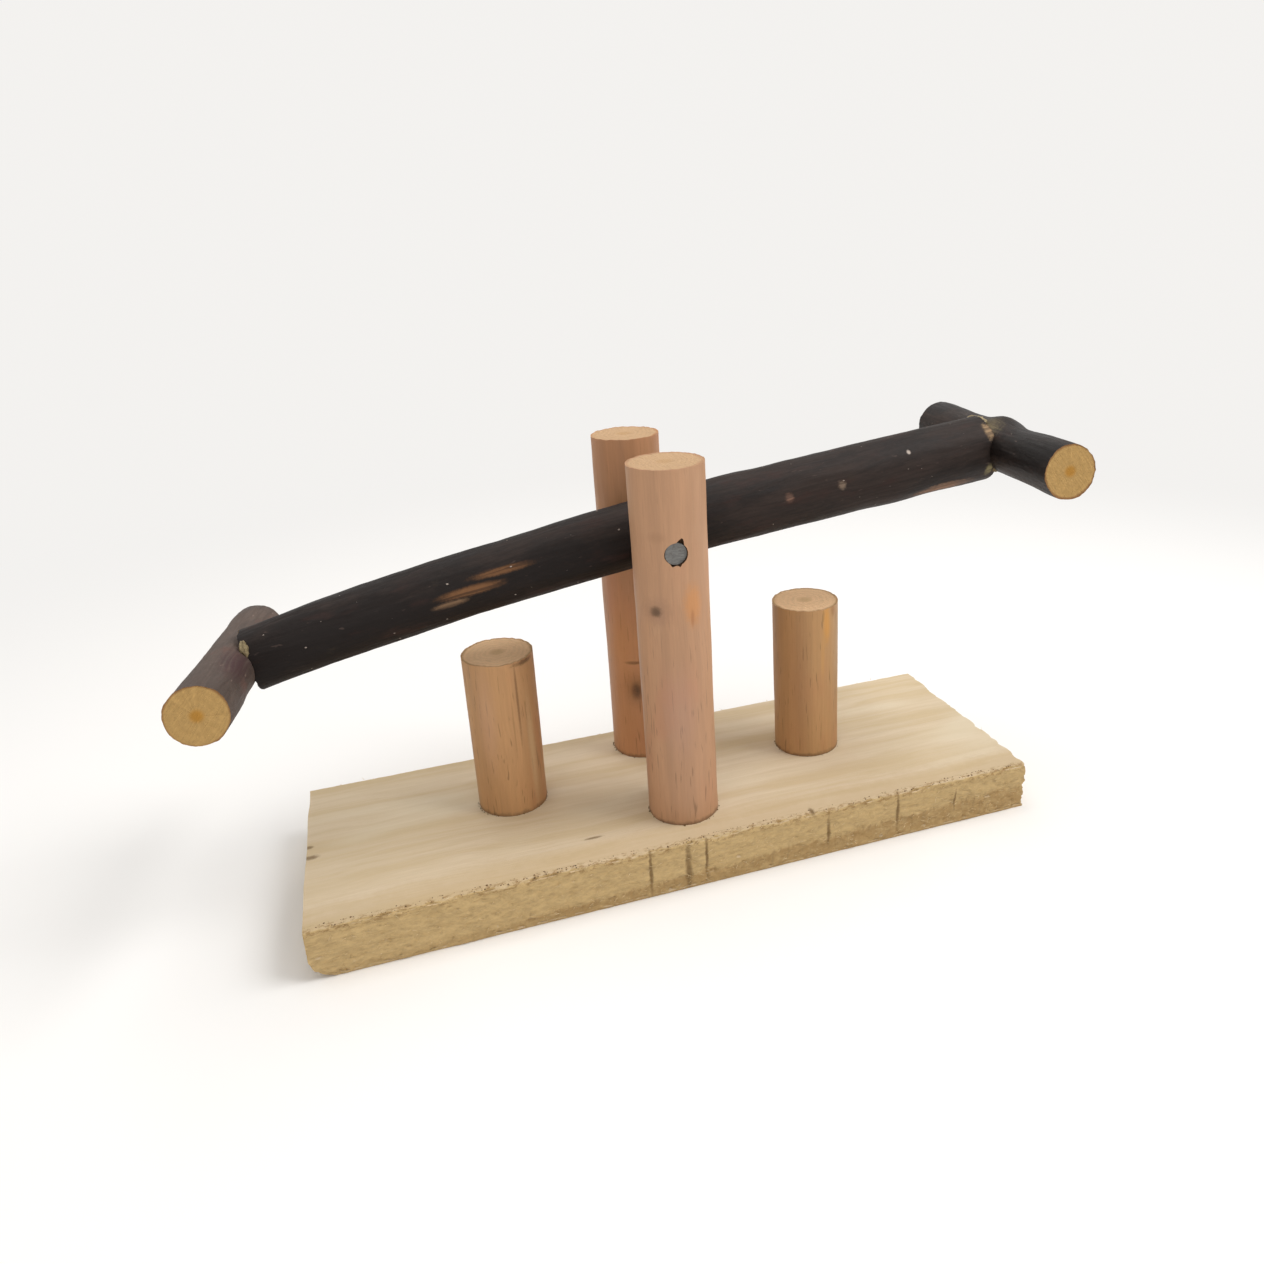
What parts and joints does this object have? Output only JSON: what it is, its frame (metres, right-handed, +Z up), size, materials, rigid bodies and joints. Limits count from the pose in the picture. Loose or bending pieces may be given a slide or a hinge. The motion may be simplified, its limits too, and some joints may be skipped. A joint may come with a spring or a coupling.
{
  "type": "pet bird seesaw",
  "caption": "Wooden toy seesaw: a branch with a crosswise perch at each end rocks on a steel pin between tall dowel posts on a plank, stopped by short dowels.",
  "frame": {"origin": "centre of the plank's underside", "axes": "+X along the plank towards the raised end of the branch, +Y away from the front, along the pivot pin, +Z up"},
  "size_m": [0.2743, 0.0916, 0.1295],
  "materials": {
    "plank_wood": "sawn, unfinished",
    "dowel_wood": "peeled, smooth, unfinished",
    "dark_bark": "smooth bark",
    "grey_bark": "smooth bark",
    "steel": "dull"
  },
  "bodies": {
    "stand": {"base_board": "plank_wood", "pivot_post_front": "dowel_wood", "pivot_post_rear": "dowel_wood", "stop_post_left": "dowel_wood", "stop_post_right": "dowel_wood", "pivot_pin": "steel", "post_screw_pivot_front": "steel", "post_screw_pivot_rear": "steel", "post_screw_stop_left": "steel", "post_screw_stop_right": "steel"},
    "seesaw": {"seesaw_beam": "dark_bark", "perch_left": "grey_bark", "perch_right": "dark_bark", "perch_nail_left": "steel", "perch_nail_right": "steel"}
  },
  "joints": [
    {"name": "seesaw_pivot", "type": "hinge", "parent": "stand", "child": "seesaw", "pos_m": [-0.0007, 0.0035, 0.105], "axis": [0, 1, 0], "range_deg": [-11.6, 23.6]}
  ]
}
